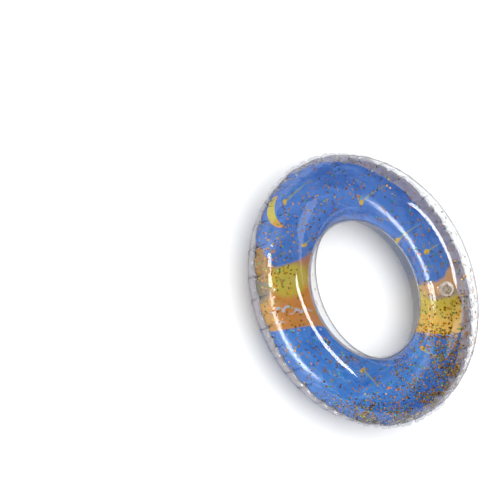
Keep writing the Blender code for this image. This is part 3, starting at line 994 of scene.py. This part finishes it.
def make_valve():
    milky = srgb(206, 192, 172)
    plastic = clear_film("valve_plastic", (0.93, 0.895, 0.85, 1), srgb(152, 146, 138), 0.34, 0.10, milky)
    thin = clear_film("flap_film", (0.95, 0.92, 0.88, 1), srgb(164, 158, 150), 0.44, 0.12, milky)
    make_valve_flange(plastic)
    make_web(plastic)
    make_stem(plastic)
    make_strap_ring(plastic)
    make_plug(plastic)
    make_check_flap(thin)


# Pieces -------------------------------------------------------------------------------------------

clear = clear_film("clear_film", (0.985, 0.987, 0.99, 1), srgb(172, 172, 180), 0.02, 0.03)
welded = clear_film("welded_film", (0.88, 0.885, 0.905, 1), srgb(120, 120, 134), 0.24, 0.12)
add_piece(make_sheet("film_top", 1, clear, clear), "ring", "clear_film", "top_sheet")
bottom = make_sheet("film_bottom", -1, back_film(), printed_film())
cut_valve_opening(bottom)
add_piece(bottom, "ring", "printed_film", "bottom_sheet")
scallops = OUTER_FLANGE * (SCALLOP_VALLEY + SCALLOP_RISE * np.abs(np.cos(film.phase / 2)) ** 0.8)
outer = outward_faces(make_flange("outer_flange", ROWS, scallops, OUTER_FLUTTER, welded))
add_piece(outer, "ring", "welded_film", "outer_weld")
inner = outward_faces(make_flange("inner_flange", 0, INNER_FLANGE, INNER_FLUTTER, welded))
add_piece(inner, "ring", "welded_film", "inner_weld")
make_valve()

flakes = place_flakes()
start = 0
for name, (share, colours) in GLITTER.items():
    count = round(share * len(flakes))
    material = glitter_material(name, *colours)
    glitter = make_glitter(f"{name}_flakes", flakes[start : start + count], material)
    add_piece(glitter, "ring", name, *(n for n in frame["nodes"] if n.startswith(name)))
    start += count


# Stage --------------------------------------------------------------------------------------------

# Camera, fitted to the outlines that the photograph shows. ASIDE and UP are the ring's place in its view.
TILT, BEARING, ROLL = math.radians(40.96), math.radians(196.7), math.radians(65.85)
DISTANCE, ASIDE, UP, LENS = 4.4, 0.19752, -0.06624, 185.95

# Glowing ribbons: the horizontal parts of unit vectors towards them, then width and strength
STRIP_REACH = 3.0
STRIPS = {
    "overhead_strip": (((0.05, 0.21), (0.10, 0.08), (0.17, -0.05), (0.28, -0.11), (0.42, -0.17)), 0.52, 17),
    "soft_panel": (((0.19, 0.52), (0.36, 0.40), (0.52, 0.22)), 0.60, 2.2),
    "side_strip": (((-0.80, 0.57), (-0.91, 0.39), (-0.98, 0.17)), 0.45, 14),
}
ring_centre = Vector((0, 0, SEAM_HEIGHT))


def make_camera():
    """Looks at the ring as if it leaned: tilted from its axis and rolled."""
    z = Vector((math.sin(TILT) * math.cos(BEARING), math.sin(TILT) * math.sin(BEARING), math.cos(TILT)))
    x = Vector((0, 0, 1)).cross(z).normalized()
    y = z.cross(x)
    right = math.cos(ROLL) * x + math.sin(ROLL) * y
    up = -math.sin(ROLL) * x + math.cos(ROLL) * y
    camera = bpy.data.objects.new("camera", bpy.data.cameras.new("camera"))
    bpy.context.scene.collection.objects.link(camera)
    place = ring_centre - ASIDE * right - UP * up + DISTANCE * z
    camera.matrix_world = Matrix.Translation(place) @ Matrix((right, up, z)).transposed().to_4x4()
    camera.data.lens = LENS
    bpy.context.scene.camera = camera


def strip_light(name, spots, width, strength):
    """A glowing ribbon over the ring, which only its gloss shows."""
    steps_a_spot = 12
    count = steps_a_spot * (len(spots) - 1) + 1
    steps, knots = np.linspace(0, len(spots) - 1, count), np.arange(len(spots))
    x, y = (np.interp(steps, knots, [spot[k] for spot in spots]) for k in (0, 1))
    towards = np.stack([x, y, np.sqrt(1 - x * x - y * y)], 1)
    across = np.cross(towards, np.gradient(towards, axis=0))
    across /= np.linalg.norm(across, axis=1, keepdims=True)
    middle = np.array(ring_centre) + STRIP_REACH * towards
    points = np.concatenate([middle - across * width / 2, middle + across * width / 2])
    faces = [(i, i + 1, count + i + 1, count + i) for i in range(count - 1)]
    mesh = bpy.data.meshes.new(name)
    mesh.from_pydata(points.tolist(), [], faces)
    glow = bpy.data.materials.new(name)
    glow.use_nodes = True
    glow.node_tree.nodes.remove(glow.node_tree.nodes["Principled BSDF"])
    lamp = glow.node_tree.nodes.new("ShaderNodeEmission")
    lamp.inputs["Strength"].default_value = strength
    glow.node_tree.links.new(lamp.outputs[0], glow.node_tree.nodes["Material Output"].inputs["Surface"])
    ribbon = new_object(name, mesh, glow)
    ribbon.visible_diffuse = False
    ribbon.visible_camera = False


def make_floor():
    """A pale floor with a faint glow, which keeps the shadow light."""
    mesh = bpy.data.meshes.new("floor")
    shape = bmesh.new()
    bmesh.ops.create_grid(shape, x_segments=1, y_segments=1, size=20.0)
    shape.to_mesh(mesh)
    shape.free()
    made, tree, shader = new_material("floor")
    mottled = noise(tree, object_place(tree), 3.0)
    pale = blend_colour(tree, mottled, (0.93, 0.93, 0.93, 1), (0.95, 0.95, 0.95, 1))
    tree.links.new(pale, shader.inputs["Base Color"])
    shader.inputs["Roughness"].default_value = 0.9
    shader.inputs["Emission Color"].default_value = (1.0, 1.0, 1.0, 1)
    shader.inputs["Emission Strength"].default_value = 0.16
    floor = new_object("floor", mesh, made)
    floor.location.z = -0.0005


def make_lights():
    """An even white world, a soft lamp overhead, and the ribbons."""
    world = bpy.data.worlds.new("studio")
    bpy.context.scene.world = world
    world.use_nodes = True
    world.node_tree.nodes["Background"].inputs["Color"].default_value = (1.0, 1.0, 1.0, 1)
    world.node_tree.nodes["Background"].inputs["Strength"].default_value = 1.0
    world.cycles_visibility.glossy = False
    soft = bpy.data.objects.new("soft_light", bpy.data.lights.new("soft_light", "AREA"))
    bpy.context.scene.collection.objects.link(soft)
    soft.location = (0, 0, 3.2)
    soft.data.size = 4.0
    soft.data.energy = 48.0
    soft.visible_glossy = False
    for name, (spots, width, strength) in STRIPS.items():
        strip_light(name, spots, width, strength)


make_camera()
make_floor()
make_lights()
bpy.context.scene.cycles.transparent_max_bounces = 24  # views cross many layers of clear film
bpy.context.scene.view_settings.view_transform = "Standard"
